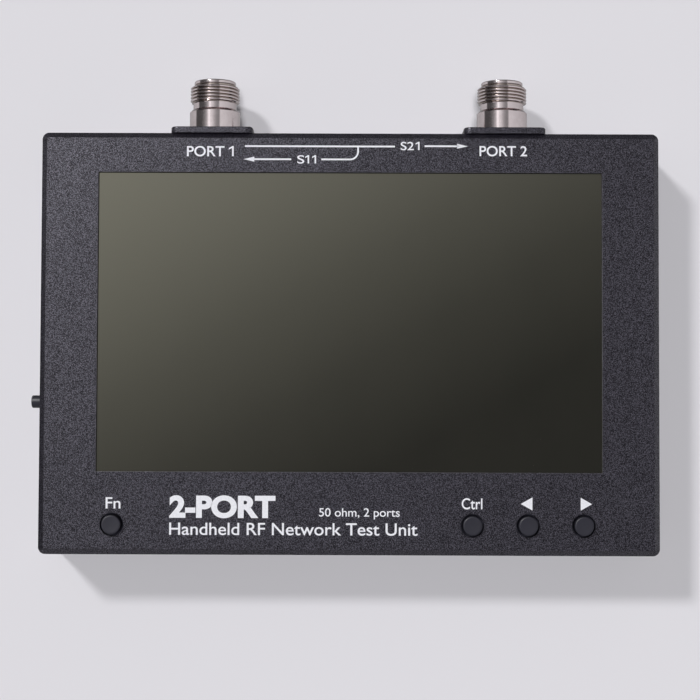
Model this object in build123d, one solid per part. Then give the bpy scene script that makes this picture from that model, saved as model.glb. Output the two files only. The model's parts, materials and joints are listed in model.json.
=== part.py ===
from build123d import *
import math
import os

# Handheld two-port vector network analyzer, lying on its feet with the screen up.
# Units are millimetres. +X runs to the right across the screen, +Y towards the two
# coaxial ports and +Z out of the screen. The origin is the middle of the case's
# outline, on the plane that the four rubber feet rest on.

# ---- Case ----
CASE_W = 196.0
CASE_H = 133.7
CASE_TOP = 28.0
CASE_CORNER_R = 2.2
EDGE_CHAMFER = 1.8
WALL = 3.0
FACE_T = 3.0
SEAM_CHAMFER = 0.3
COVER_T = 2.0
COVER_CHAMFER = 0.8
FOOT_PROUD = 1.2
FOOT_RECESS = 0.7
FOOT_D = 14.0
FOOT_EDGE_R = 0.5
FOOT_XY = (80.0, 50.0)
POST_W = 8.0
POST_DEPTH = 6.0
POST_TOP = 13.0
COVER_SCREW_IN = 3.0
COVER_SCREW_L = 8.0

# ---- Window and display ----
WINDOW_W = 159.6
WINDOW_H = 94.9
WINDOW_Y = 6.7
LIP_T = 1.0
GLASS_W = 165.0
GLASS_H = 100.0
GLASS_T = 1.1
REBATE_GAP = 0.5
GASKET_T = 0.2
GASKET_INSET = 0.8
DISPLAY_SHEET = 0.4
DISPLAY_GAP = 0.2
PANEL_T = 1.4
LIGHT_GUIDE_T = 2.3
FOAM_W = 8.0
FOAM_L = 20.0
FOAM_XY = ((-60.0, 6.7), (0.0, 40.0), (60.0, 6.7))
FLEX_X = 20.0
FLEX_W = 26.0
FLEX_T = 0.2
FLEX_REACH = 1.0
FLEX_RISE = 0.8
CONNECTOR_Y = (-32.0, -28.0)
CONNECTOR_H = 1.5
LATCH_DEPTH = 0.4

# ---- Boards ----
BOARD_T = 1.6
BOARD_CORNER_R = 2.0
MAIN_BOARD_TOP = 19.6
MAIN_BOARD_HALF_W = 92.0
MAIN_BOARD_Y = (-62.0, 58.0)
RF_BOARD_TOP = 13.7
RF_BOARD_HALF_W = 75.0
RF_BOARD_Y = (9.0, 57.0)
BOSS_D = 6.0
BOSS_ROOF = 0.8
BOSS_XY = ((-88.0, -49.0), (88.0, -49.0), (-88.0, 52.0), (88.0, 52.0))
STANDOFF_XY = ((-68.0, 14.0), (68.0, 14.0), (-68.0, 49.0), (68.0, 49.0))
STANDOFF_AF = 4.5
STANDOFF_HOLE_L = 3.5
STUD_GAP = 0.3
STANDOFF_NUT_AF = 5.0
STANDOFF_NUT_T = 1.5
HEADER = (26.0, 5.0)
HEADER_XY = (-5.0, 12.5)
CAN_H = 3.6
CAN_SHEET = 0.3
CAN_CORNER_R = 1.0
# Shield cans on the radio board: width, depth, x and y of the middle.
CANS = ((34.0, 24.0, -44.0, 34.0), (34.0, 24.0, 49.0, 34.0), (28.0, 30.0, 3.0, 34.0))
# Packages under the main board: width, depth, height, x and y of the middle. They are
# the processor, memory, charger, two inductors, a crystal and the audio chip.
PACKAGES = (
    (14.0, 14.0, 1.4, -20.0, -8.0),
    (13.0, 9.0, 1.1, -42.0, -8.0),
    (6.0, 6.0, 0.9, -70.0, -36.0),
    (7.0, 7.0, 2.6, -62.0, -46.0),
    (5.0, 5.0, 2.4, -54.0, -46.0),
    (3.2, 2.5, 0.8, -20.0, -22.0),
    (8.0, 6.0, 1.4, 10.0, -20.0),
)

# ---- Front keys ----
KEY_Y = -57.35
KEY_PITCH = 17.5
FN_KEY_X = -74.65
RIGHT_KEY_X = 73.8
KEY_X = {
    "fn": FN_KEY_X,
    "ctrl": RIGHT_KEY_X - 2 * KEY_PITCH,
    "left": RIGHT_KEY_X - KEY_PITCH,
    "right": RIGHT_KEY_X,
}
KEY_HOLE_D = 7.4
KEY_D = 6.15
KEY_PROUD = 2.0
KEY_EDGE_R = 0.5
KEY_FLANGE_D = 8.8
KEY_FLANGE_T = 1.0
KEY_FLANGE_GAP = 0.25
KEY_TRAVEL = 0.35
SWITCH_SIZE = 6.0
SWITCH_H = 3.6
SWITCH_CORNER_R = 0.4
SWITCH_FLOOR_GAP = 0.15
PLUNGER_D = 3.4
PLUNGER_TOP = 24.3
PLUNGER_BOTTOM = 21.7
PLUNGER_CHAMFER = 0.2
PLUNGER_SOCKET_GAP = 0.4
RUNNING_GAP = 0.05

# ---- Left side: power button, charging socket and status light ----
SIDE_Z = 16.2
POWER_Y = -18.7
POWER_D = 4.05
POWER_HOLE_D = 4.65
POWER_TIP_X = -102.2
POWER_TIP_CHAMFER = 0.5
POWER_FLANGE_D = 5.6
POWER_FLANGE_T = 0.8
POWER_FLANGE_GAP = 0.4
POWER_TRAVEL = 0.8
POWER_SWITCH = (6.0, 7.0, 5.2)
POWER_SWITCH_X = -88.5
POWER_SWITCH_END_GAP = 0.2
POWER_PLUNGER_D = 2.4
POWER_PLUNGER_IN = 1.0
USB_Y = -40.0
USB_W = 8.94
USB_H = 3.26
USB_DEPTH = 7.3
USB_RECESS = 0.8
USB_SHEET = 0.3
USB_HOLE_GAP = 0.3
TONGUE = (4.45, 6.69, 0.7)
TONGUE_BASE_L = 1.2
TONGUE_BASE_H = 2.4
LIGHT_Y = -29.5
LIGHT_D = 2.0
LIGHT_L = 5.8
LED_SIZE = (1.6, 3.0)
LED_DROP = 1.0

# ---- Coaxial ports ----
PORT_X = {"port_1": -44.05, "port_2": 49.2}
PORT_Z = 14.5
FLANGE_SIZE = 26.0
FLANGE_T = 2.0
FLANGE_CORNER_R = 2.3
FLANGE_CHAMFER = 0.3
FLANGE_SCREW_SPACING = 18.3
FLANGE_SCREW_L = 5.0
PORT_BODY_D = 16.3
PORT_BODY_L = 7.25
PORT_BODY_CHAMFER = 0.9
PORT_NECK_D = 14.0
PORT_NECK_L = 2.0
PORT_THREAD_D = 15.85
PORT_THREAD_L = 5.55
PORT_THREAD_CHAMFER = 0.35
PORT_RELIEF_D = 13.0
PORT_RELIEF_L = 0.45
PORT_NOSE_D = 13.4
PORT_NOSE_L = 1.3
PORT_NOSE_CHAMFER = 0.4
PORT_BORE_D = 8.4
PORT_BORE_L = 10.0
PORT_MOUTH_CHAMFER = 0.5
PORT_SHANK_D = 9.0
PORT_SHANK_L = 9.0
PORT_NUT_AF = 11.0
PORT_NUT_T = 2.6
INSULATOR_D = 6.0
CONTACT_D = 3.04
CONTACT_BORE_D = 1.66
CONTACT_BORE_L = 4.0
CONTACT_SETBACK = 5.0
CONTACT_SEAT = 2.0
CONTACT_CHAMFER = 0.3
CONTACT_SLOT_W = 0.3
CONTACT_SLOT_L = 3.0
CONTACT_TAIL_D = 1.5
CONTACT_TAIL_L = 4.0

# ---- Battery ----
BATTERY = (104.0, 54.0, 8.5)
BATTERY_Y = -30.0
BATTERY_CORNER_R = 3.0
BATTERY_EDGE_R = 1.5
BATTERY_PAD = (16.0, 44.0, 0.6)
BATTERY_PAD_X = 34.0
LEAD_D = 1.3
LEAD_X = 30.0
LEAD_GAP = 0.7
LEAD_BEND_R = 4.0
LEAD_RUN = 5.0
SOCKET = (8.0, 5.0, 4.0)

# ---- Screws ----
M3_D = 2.9
M3_HEAD_D = 5.6
M3_HEAD_T = 1.5
M3_HOLE_D = 3.0
M3_CLEARANCE_D = 3.4
M3_DRIVE_AF = 2.0
M3_DRIVE_L = 0.9
M25_D = 2.4
M25_HEAD_D = 4.5
M25_HEAD_T = 1.7
M25_HOLE_D = 2.5
M25_CLEARANCE_D = 2.7
M25_DRIVE_D = 1.6
M25_DRIVE_L = 0.8
BOARD_SCREW_L = 5.4
RF_SCREW_L = 3.0

# How far a cutting solid runs past the face that it cuts.
OVERCUT = 1.0

# ---- Levels and places that follow from the sizes above ----
COVER_BOTTOM = FOOT_PROUD
COVER_TOP = COVER_BOTTOM + COVER_T
FACE_UNDER = CASE_TOP - FACE_T
LIP_UNDER = CASE_TOP - LIP_T
GLASS_TOP = LIP_UNDER - GASKET_T
GLASS_UNDER = GLASS_TOP - GLASS_T
PANEL_UNDER = GLASS_UNDER - PANEL_T
LIGHT_GUIDE_UNDER = PANEL_UNDER - LIGHT_GUIDE_T
DISPLAY_BACK = LIGHT_GUIDE_UNDER - DISPLAY_SHEET
MAIN_BOARD_UNDER = MAIN_BOARD_TOP - BOARD_T
RF_BOARD_UNDER = RF_BOARD_TOP - BOARD_T
BATTERY_BOTTOM = COVER_TOP + BATTERY_PAD[2]
BATTERY_TOP = BATTERY_BOTTOM + BATTERY[2]
BATTERY_END_Y = BATTERY_Y + BATTERY[1] / 2
SOCKET_UNDER = MAIN_BOARD_UNDER - SOCKET[2]
HALF_W = CASE_W / 2
HALF_H = CASE_H / 2
INNER_HALF_W = HALF_W - WALL
INNER_HALF_H = HALF_H - WALL
COVER_SCREW_X = INNER_HALF_W - POST_W / 2
COVER_SCREW_Y = INNER_HALF_H - COVER_SCREW_IN
COVER_SCREW_XY = [
    (x, y)
    for x in (-COVER_SCREW_X, 0.0, COVER_SCREW_X)
    for y in (-COVER_SCREW_Y, COVER_SCREW_Y)
]
POWER_FLANGE_X = -INNER_HALF_W + POWER_FLANGE_GAP
POWER_FLANGE_BACK = POWER_FLANGE_X + POWER_FLANGE_T
POWER_SWITCH_FACE = POWER_SWITCH_X - POWER_SWITCH[0] / 2
FLANGE_FACE_Y = HALF_H + FLANGE_T
PORT_NECK_END = PORT_BODY_L + PORT_NECK_L
PORT_THREAD_END = PORT_NECK_END + PORT_THREAD_L
PORT_RELIEF_END = PORT_THREAD_END + PORT_RELIEF_L
PORT_TIP = PORT_RELIEF_END + PORT_NOSE_L
PORT_BORE_FLOOR = PORT_TIP - PORT_BORE_L
CONTACT_TIP = PORT_TIP - CONTACT_SETBACK

parts = {}


def block(size_x, size_y, z_low, z_high, x=0.0, y=0.0):
    """A box given by its plan size, its middle in plan and its two levels."""
    middle = (x, y, (z_low + z_high) / 2)
    return Pos(*middle) * Box(size_x, size_y, z_high - z_low)


def rounded_block(size_x, size_y, z_low, z_high, radius, x=0.0, y=0.0):
    """A block whose four upright edges are rounded."""
    outline = Pos(x, y, z_low) * RectangleRounded(size_x, size_y, radius)
    return extrude(outline, z_high - z_low)


def disc(diameter, z_low, z_high, x=0.0, y=0.0):
    """An upright cylinder between two levels."""
    return Pos(x, y, (z_low + z_high) / 2) * Cylinder(diameter / 2, z_high - z_low)


def along_y(x, y, z):
    """Turns what is built along +Z to run along +Y from a point."""
    return Pos(x, y, z) * Rot(-90, 0, 0)


def along_x(x, y, z):
    """Turns what is built along +Z to run along +X from a point."""
    return Pos(x, y, z) * Rot(0, 90, 0)


def rod(diameter, start, end):
    """A cylinder along local +Z between two distances from the local origin."""
    return Pos(0, 0, (start + end) / 2) * Cylinder(diameter / 2, end - start)


def hex_rod(across_flats, start, end):
    """A hexagonal bar along local +Z, with flats facing local Y."""
    outline = Pos(0, 0, start) * RegularPolygon(across_flats / 2, 6, major_radius=False)
    return extrude(outline, end - start)


def countersunk_screw(length):
    """A flush screw along local -Z, its head's top on the local origin."""
    head = Pos(0, 0, -M3_HEAD_T / 2) * Cone(M3_D / 2, M3_HEAD_D / 2, M3_HEAD_T)
    shank = rod(M3_D, -length, -M3_HEAD_T)
    return head + shank - hex_rod(M3_DRIVE_AF, -M3_DRIVE_L, 0)


def countersink(depth):
    """What a countersunk screw's clearance hole takes out of a plate, along local -Z."""
    gap = 2 * RUNNING_GAP
    cone = Pos(0, 0, -M3_HEAD_T / 2) * Cone(
        (M3_D + gap) / 2, (M3_HEAD_D + gap) / 2, M3_HEAD_T
    )
    return cone + rod(M3_CLEARANCE_D, -depth, -M3_HEAD_T + M3_CLEARANCE_D - M3_HOLE_D)


def pan_screw(bearing, length):
    """An M2.5 screw that points up, its head under a bearing level."""
    head = disc(M25_HEAD_D, bearing - M25_HEAD_T, bearing)
    head -= disc(M25_DRIVE_D, bearing - M25_HEAD_T, bearing - M25_HEAD_T + M25_DRIVE_L)
    return head + disc(M25_D, bearing, bearing + length)


def top_rim(solid, z):
    """The edges of a solid that lie on one level."""
    return solid.edges().filter_by_position(Axis.Z, z - 0.01, z + 0.01)


def group(solids):
    """Several separate solids kept as one node."""
    return Compound(children=list(solids))


# ---- Case ----
def make_front_housing():
    body = rounded_block(CASE_W, CASE_H, COVER_TOP, CASE_TOP, CASE_CORNER_R)
    body = chamfer(top_rim(body, CASE_TOP), EDGE_CHAMFER)
    body = chamfer(top_rim(body, COVER_TOP), SEAM_CHAMFER)
    body -= rounded_block(2 * INNER_HALF_W, 2 * INNER_HALF_H, COVER_TOP - OVERCUT,
                          FACE_UNDER, CASE_CORNER_R)
    body = add_cover_posts(body)
    body = add_board_bosses(body)
    body -= block(WINDOW_W, WINDOW_H, FACE_UNDER - OVERCUT, CASE_TOP + OVERCUT, y=WINDOW_Y)
    rebate_w = GLASS_W + 2 * REBATE_GAP
    rebate_h = GLASS_H + 2 * REBATE_GAP
    body -= block(rebate_w, rebate_h, FACE_UNDER - OVERCUT, LIP_UNDER, y=WINDOW_Y)
    for x in KEY_X.values():
        body -= disc(KEY_HOLE_D, FACE_UNDER - OVERCUT, CASE_TOP + OVERCUT, x, KEY_Y)
    for x in PORT_X.values():
        through = along_y(x, INNER_HALF_H, PORT_Z)
        body -= through * rod(PORT_SHANK_D + PLUNGER_SOCKET_GAP, -OVERCUT, WALL + OVERCUT)
        for dx, dz in flange_screw_offsets():
            body -= through * Pos(dx, dz, 0) * rod(M3_HOLE_D, -OVERCUT, WALL + OVERCUT)
    side = along_x(-HALF_W, 0, SIDE_Z)
    body -= side * Pos(0, POWER_Y, 0) * rod(POWER_HOLE_D, -OVERCUT, WALL + OVERCUT)
    light_hole = rod(LIGHT_D + 2 * RUNNING_GAP, -OVERCUT, WALL + OVERCUT)
    body -= side * Pos(0, LIGHT_Y, 0) * light_hole
    body -= usb_slot(USB_HOLE_GAP, -OVERCUT, WALL + OVERCUT)
    return body


def add_cover_posts(body):
    """Six posts on the walls that take the rear cover's screws."""
    for x, y in COVER_SCREW_XY:
        middle = math.copysign(INNER_HALF_H - POST_DEPTH / 2, y)
        body += block(POST_W, POST_DEPTH, COVER_TOP, POST_TOP, x, middle)
        body -= disc(M3_HOLE_D, COVER_TOP - OVERCUT, COVER_TOP + COVER_SCREW_L, x, y)
    return body


def add_board_bosses(body):
    """Four bosses under the face that the main board hangs from."""
    for x, y in BOSS_XY:
        body += disc(BOSS_D, MAIN_BOARD_TOP, FACE_UNDER, x, y)
        body -= disc(M25_HOLE_D, MAIN_BOARD_TOP - OVERCUT, FACE_UNDER - BOSS_ROOF, x, y)
    return body


def flange_screw_offsets():
    """The four flange screws, from the port's axis."""
    half = FLANGE_SCREW_SPACING / 2
    return [(dx, dz) for dx in (-half, half) for dz in (-half, half)]


def usb_slot(gap, start, end):
    """A round-ended slot around the charging socket, from the case's left face inwards."""
    side = Plane(origin=(-HALF_W + start, USB_Y, SIDE_Z), x_dir=(0, 1, 0), z_dir=(1, 0, 0))
    return extrude(side * SlotOverall(USB_W + 2 * gap, USB_H + 2 * gap), end - start)


def make_rear_cover():
    cover = rounded_block(CASE_W, CASE_H, COVER_BOTTOM, COVER_TOP, CASE_CORNER_R)
    cover = chamfer(top_rim(cover, COVER_BOTTOM), COVER_CHAMFER)
    cover = chamfer(top_rim(cover, COVER_TOP), SEAM_CHAMFER)
    for x, y in COVER_SCREW_XY:
        cover -= Pos(x, y, COVER_BOTTOM) * Rot(180, 0, 0) * countersink(COVER_T + OVERCUT)
    for x, y in foot_places():
        cover -= disc(FOOT_D + 4 * RUNNING_GAP, 0, COVER_BOTTOM + FOOT_RECESS, x, y)
    return cover


def make_cover_screws():
    screw = Rot(180, 0, 0) * countersunk_screw(COVER_SCREW_L)
    return group(Pos(x, y, COVER_BOTTOM) * screw for x, y in COVER_SCREW_XY)


def foot_places():
    """The middles of the four feet."""
    reach_x, reach_y = FOOT_XY
    return [(x, y) for x in (-reach_x, reach_x) for y in (-reach_y, reach_y)]


def make_rubber_feet():
    foot = disc(FOOT_D, 0, COVER_BOTTOM + FOOT_RECESS)
    foot = fillet(top_rim(foot, 0), FOOT_EDGE_R)
    return group(Pos(x, y, 0) * foot for x, y in foot_places())


# ---- Display ----
def make_window_gasket():
    outer = block(GLASS_W, GLASS_H, GLASS_TOP, LIP_UNDER, y=WINDOW_Y)
    hole_w = WINDOW_W + 2 * GASKET_INSET
    hole_h = WINDOW_H + 2 * GASKET_INSET
    return outer - block(hole_w, hole_h, GLASS_TOP - OVERCUT, LIP_UNDER + OVERCUT, y=WINDOW_Y)


def make_cover_glass():
    return block(GLASS_W, GLASS_H, GLASS_UNDER, GLASS_TOP, y=WINDOW_Y)


def make_display_frame():
    """A shallow pressed steel tray around the panel and its light guide."""
    outer_w = GLASS_W - 2 * DISPLAY_GAP
    outer_h = GLASS_H - 2 * DISPLAY_GAP
    tray = block(outer_w, outer_h, DISPLAY_BACK, GLASS_UNDER, y=WINDOW_Y)
    inside_w = outer_w - 2 * DISPLAY_SHEET
    inside_h = outer_h - 2 * DISPLAY_SHEET
    return tray - block(inside_w, inside_h, LIGHT_GUIDE_UNDER, CASE_TOP, y=WINDOW_Y)


def display_layer(z_low, z_high):
    """A sheet that fits inside the display's steel frame."""
    inset = 2 * DISPLAY_SHEET + 3 * DISPLAY_GAP
    return block(GLASS_W - inset, GLASS_H - inset, z_low, z_high, y=WINDOW_Y)


def make_foam_pads():
    return group(
        block(FOAM_W, FOAM_L, MAIN_BOARD_TOP, DISPLAY_BACK, x, y) for x, y in FOAM_XY
    )


def make_display_flex():
    """A flat flex that leaves the panel's lower edge and folds under to its connector."""
    edge_y = WINDOW_Y - GLASS_H / 2
    start_y = edge_y + DISPLAY_GAP
    fold_y = edge_y - FLEX_REACH
    plug_y = CONNECTOR_Y[0]
    high = (PANEL_UNDER + GLASS_UNDER) / 2
    low = MAIN_BOARD_TOP + FLEX_RISE
    side = Polyline(
        (start_y, high), (fold_y, high), (fold_y, low), (plug_y, low),
        (plug_y, low + FLEX_T), (fold_y + FLEX_T, low + FLEX_T),
        (fold_y + FLEX_T, high - FLEX_T), (start_y, high - FLEX_T), close=True,
    )
    profile = make_face(Plane.YZ * side)
    return Pos(FLEX_X - FLEX_W / 2, 0, 0) * extrude(profile, FLEX_W, dir=(1, 0, 0))


def make_flex_connector():
    low, high = CONNECTOR_Y
    top = MAIN_BOARD_TOP + CONNECTOR_H
    body = block(FLEX_W + 4 * FLEX_REACH, high - low, MAIN_BOARD_TOP, top, FLEX_X,
                 (low + high) / 2)
    latch = block(FLEX_W + 2 * FLEX_REACH, 2 * LATCH_DEPTH, top - LATCH_DEPTH,
                  top + OVERCUT, FLEX_X, high)
    return body - latch


# ---- Boards ----
def make_board(half_w, y_range, top, holes_xy):
    low, high = y_range
    board = rounded_block(2 * half_w, high - low, top - BOARD_T, top, BOARD_CORNER_R,
                          y=(low + high) / 2)
    for x, y in holes_xy:
        board -= disc(M25_CLEARANCE_D, 0, CASE_TOP, x, y)
    return board


def make_main_board_chips():
    return group(
        block(wide, deep, MAIN_BOARD_UNDER - tall, MAIN_BOARD_UNDER, x, y)
        for wide, deep, tall, x, y in PACKAGES
    )


def make_board_screws():
    screw = pan_screw(MAIN_BOARD_UNDER, BOARD_SCREW_L)
    return group(Pos(x, y, 0) * screw for x, y in BOSS_XY)


def make_rf_shield_cans():
    """Thin lids over the two receivers and the synthesizer, open towards the board."""
    lids = []
    for wide, deep, x, y in CANS:
        top = RF_BOARD_TOP + CAN_H
        lid = rounded_block(wide, deep, RF_BOARD_TOP, top, CAN_CORNER_R, x, y)
        lid -= rounded_block(wide - 2 * CAN_SHEET, deep - 2 * CAN_SHEET,
                             RF_BOARD_TOP - OVERCUT, top - CAN_SHEET,
                             CAN_CORNER_R - CAN_SHEET, x, y)
        lids.append(lid)
    return group(lids)


def make_board_header():
    return block(*HEADER, RF_BOARD_TOP, MAIN_BOARD_UNDER, *HEADER_XY)


def make_rf_standoffs():
    pillar = hex_rod(STANDOFF_AF, RF_BOARD_TOP, MAIN_BOARD_UNDER)
    pillar += rod(M25_D, MAIN_BOARD_UNDER, DISPLAY_BACK - STUD_GAP)
    pillar -= rod(M25_HOLE_D, RF_BOARD_TOP - OVERCUT, RF_BOARD_TOP + STANDOFF_HOLE_L)
    return group(Pos(x, y, 0) * pillar for x, y in STANDOFF_XY)


def make_standoff_nuts():
    nut = hex_rod(STANDOFF_NUT_AF, MAIN_BOARD_TOP, MAIN_BOARD_TOP + STANDOFF_NUT_T)
    nut -= rod(M25_HOLE_D, 0, CASE_TOP)
    return group(Pos(x, y, 0) * nut for x, y in STANDOFF_XY)


def make_rf_board_screws():
    screw = pan_screw(RF_BOARD_UNDER, BOARD_T + RF_SCREW_L)
    return group(Pos(x, y, 0) * screw for x, y in STANDOFF_XY)


# ---- Keys ----
def make_tact_switches():
    switch_top = MAIN_BOARD_TOP + SWITCH_H
    well_floor = PLUNGER_BOTTOM - KEY_TRAVEL - SWITCH_FLOOR_GAP
    case = rounded_block(SWITCH_SIZE, SWITCH_SIZE, MAIN_BOARD_TOP, switch_top,
                         SWITCH_CORNER_R)
    case -= disc(PLUNGER_D + 2 * RUNNING_GAP, well_floor, CASE_TOP)
    return group(Pos(x, KEY_Y, 0) * case for x in KEY_X.values())


def make_plunger(x):
    plunger = disc(PLUNGER_D, PLUNGER_BOTTOM, PLUNGER_TOP, x, KEY_Y)
    return chamfer(top_rim(plunger, PLUNGER_BOTTOM), PLUNGER_CHAMFER)


def make_key(x):
    """A round cap with a wide foot that keeps it behind the face."""
    key_top = CASE_TOP + KEY_PROUD
    foot_top = FACE_UNDER - KEY_FLANGE_GAP
    foot_bottom = foot_top - KEY_FLANGE_T
    cap = disc(KEY_D, foot_bottom, key_top)
    cap = fillet(top_rim(cap, key_top), KEY_EDGE_R)
    cap += disc(KEY_FLANGE_D, foot_bottom, foot_top)
    cap -= disc(PLUNGER_D + PLUNGER_SOCKET_GAP, foot_bottom - OVERCUT, PLUNGER_TOP)
    return Pos(x, KEY_Y, 0) * cap


# ---- Left side ----
def make_power_button():
    flange_start = POWER_FLANGE_X - POWER_TIP_X
    flange_end = POWER_FLANGE_BACK - POWER_TIP_X
    stem = rod(POWER_D, 0, flange_end)
    stem = chamfer(top_rim(stem, 0), POWER_TIP_CHAMFER)
    stem += rod(POWER_FLANGE_D, flange_start, flange_end)
    return along_x(POWER_TIP_X, POWER_Y, SIDE_Z) * stem


def make_power_plunger():
    reach = POWER_SWITCH_FACE + POWER_PLUNGER_IN - POWER_FLANGE_BACK
    return along_x(POWER_FLANGE_BACK, POWER_Y, SIDE_Z) * rod(POWER_PLUNGER_D, 0, reach)


def make_power_switch():
    depth, width, height = POWER_SWITCH
    case = block(depth, width, MAIN_BOARD_UNDER - height, MAIN_BOARD_UNDER,
                 POWER_SWITCH_X, POWER_Y)
    well_d = POWER_PLUNGER_D + 2 * RUNNING_GAP
    well_end = POWER_PLUNGER_IN + POWER_TRAVEL + POWER_SWITCH_END_GAP
    face = along_x(POWER_SWITCH_FACE, POWER_Y, SIDE_Z)
    return case - face * rod(well_d, -OVERCUT, well_end)


def make_usb_shell():
    shell_end = USB_RECESS + USB_DEPTH
    outer = usb_slot(0, USB_RECESS, shell_end)
    return outer - usb_slot(-USB_SHEET, USB_RECESS - OVERCUT, shell_end - USB_SHEET)


def make_usb_tongue():
    depth, width, height = TONGUE
    back = -HALF_W + USB_RECESS + USB_DEPTH - USB_SHEET
    tongue = block(depth, width, SIDE_Z - height / 2, SIDE_Z + height / 2,
                   back - depth / 2, USB_Y)
    base = block(TONGUE_BASE_L, width, SIDE_Z - TONGUE_BASE_H / 2,
                 SIDE_Z + TONGUE_BASE_H / 2, back - TONGUE_BASE_L / 2, USB_Y)
    return tongue + base


def make_light_pipe():
    return along_x(-HALF_W, LIGHT_Y, SIDE_Z) * rod(LIGHT_D, 0, LIGHT_L)


def make_status_led():
    length, width = LED_SIZE
    middle_x = -HALF_W + LIGHT_L + 2 * RUNNING_GAP + length / 2
    return block(length, width, SIDE_Z - LED_DROP, MAIN_BOARD_UNDER, middle_x, LIGHT_Y)


# ---- Coaxial ports ----
def make_port_flange(x):
    """A square plate with rounded corners and four flush screw holes."""
    outline = RectangleRounded(FLANGE_SIZE, FLANGE_SIZE, FLANGE_CORNER_R)
    plate = extrude(outline, FLANGE_T)
    plate = chamfer(top_rim(plate, FLANGE_T), FLANGE_CHAMFER)
    plate -= rod(PORT_SHANK_D + 4 * RUNNING_GAP, -OVERCUT, FLANGE_T + OVERCUT)
    for dx, dz in flange_screw_offsets():
        plate -= Pos(dx, dz, FLANGE_T) * countersink(FLANGE_T + OVERCUT)
    return along_y(x, HALF_H, PORT_Z) * plate


def make_flange_screws():
    screw = countersunk_screw(FLANGE_SCREW_L)
    return group(
        along_y(x, FLANGE_FACE_Y, PORT_Z) * Pos(dx, dz, 0) * screw
        for x in PORT_X.values()
        for dx, dz in flange_screw_offsets()
    )


def make_port_body(x):
    """The jack's outer conductor: rear shank, body, neck, thread, relief and nose."""
    body = rod(PORT_BODY_D, 0, PORT_BODY_L)
    body = chamfer(top_rim(body, PORT_BODY_L), PORT_BODY_CHAMFER)
    nose = rod(PORT_NOSE_D, PORT_RELIEF_END, PORT_TIP)
    nose = chamfer(top_rim(nose, PORT_TIP), PORT_NOSE_CHAMFER)
    thread = rod(PORT_THREAD_D, PORT_NECK_END, PORT_THREAD_END)
    ends = top_rim(thread, PORT_NECK_END) + top_rim(thread, PORT_THREAD_END)
    thread = chamfer(ends, PORT_THREAD_CHAMFER)
    body += rod(PORT_NECK_D, PORT_BODY_L, PORT_NECK_END)
    body += rod(PORT_RELIEF_D, PORT_THREAD_END, PORT_RELIEF_END)
    body += thread + nose
    body += rod(PORT_SHANK_D, -PORT_SHANK_L, 0)
    body -= rod(PORT_BORE_D, PORT_BORE_FLOOR, PORT_TIP + OVERCUT)
    body -= rod(INSULATOR_D + 2 * RUNNING_GAP, -PORT_SHANK_L - OVERCUT, PORT_TIP)
    body -= Pos(0, 0, PORT_TIP - PORT_MOUTH_CHAMFER / 2) * Cone(
        PORT_BORE_D / 2, PORT_BORE_D / 2 + PORT_MOUTH_CHAMFER, PORT_MOUTH_CHAMFER
    )
    return along_y(x, FLANGE_FACE_Y, PORT_Z) * body


def make_port_insulator(x):
    """A white plug between the outer conductor and the centre contact."""
    seat = PORT_BORE_FLOOR - CONTACT_SEAT
    plug = rod(INSULATOR_D, -PORT_SHANK_L, PORT_BORE_FLOOR)
    plug -= rod(CONTACT_TAIL_D + 2 * RUNNING_GAP, -PORT_SHANK_L - OVERCUT, seat)
    plug -= rod(CONTACT_D + 2 * RUNNING_GAP, seat, PORT_BORE_FLOOR + OVERCUT)
    return along_y(x, FLANGE_FACE_Y, PORT_Z) * plug


def make_port_contact(x):
    """A slotted socket contact with a tail that reaches the board inside."""
    seat = PORT_BORE_FLOOR - CONTACT_SEAT
    contact = rod(CONTACT_D, seat, CONTACT_TIP)
    contact = chamfer(top_rim(contact, CONTACT_TIP), CONTACT_CHAMFER)
    contact += rod(CONTACT_TAIL_D, -PORT_SHANK_L - CONTACT_TAIL_L, seat)
    contact -= rod(CONTACT_BORE_D, CONTACT_TIP - CONTACT_BORE_L, CONTACT_TIP + OVERCUT)
    for turn in (0, 90):
        slot = Box(CONTACT_D + OVERCUT, CONTACT_SLOT_W, 2 * CONTACT_SLOT_L)
        contact -= Pos(0, 0, CONTACT_TIP) * Rot(0, 0, turn) * slot
    return along_y(x, FLANGE_FACE_Y, PORT_Z) * contact


def make_port_nut(x):
    nut = hex_rod(PORT_NUT_AF, -PORT_NUT_T, 0)
    nut -= rod(PORT_SHANK_D + 2 * RUNNING_GAP, -PORT_NUT_T - OVERCUT, OVERCUT)
    return along_y(x, INNER_HALF_H, PORT_Z) * nut


# ---- Battery ----
def make_battery_pack():
    pouch = rounded_block(BATTERY[0], BATTERY[1], BATTERY_BOTTOM, BATTERY_TOP,
                          BATTERY_CORNER_R, y=BATTERY_Y)
    rims = top_rim(pouch, BATTERY_BOTTOM) + top_rim(pouch, BATTERY_TOP)
    return fillet(rims, BATTERY_EDGE_R)


def make_battery_pads():
    wide, deep, thick = BATTERY_PAD
    return group(
        block(wide, deep, COVER_TOP, COVER_TOP + thick, x, BATTERY_Y)
        for x in (-BATTERY_PAD_X, BATTERY_PAD_X)
    )


def make_battery_lead():
    """Two insulated wires from the pack's upper edge up to the socket."""
    middle = (BATTERY_BOTTOM + BATTERY_TOP) / 2
    turn_y = BATTERY_END_Y + LEAD_RUN
    wires = []
    for side in (-1, 1):
        x = LEAD_X + side * (LEAD_GAP + LEAD_D / 2)
        route = FilletPolyline(
            (x, BATTERY_END_Y, middle), (x, turn_y, middle), (x, turn_y, SOCKET_UNDER),
            radius=LEAD_BEND_R,
        )
        start = Plane(origin=(x, BATTERY_END_Y, middle), z_dir=(0, 1, 0))
        wires.append(sweep(start * Circle(LEAD_D / 2), path=route))
    return group(wires)


def make_battery_socket():
    return block(SOCKET[0], SOCKET[1], SOCKET_UNDER, MAIN_BOARD_UNDER, LEAD_X,
                 BATTERY_END_Y + LEAD_RUN)


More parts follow.
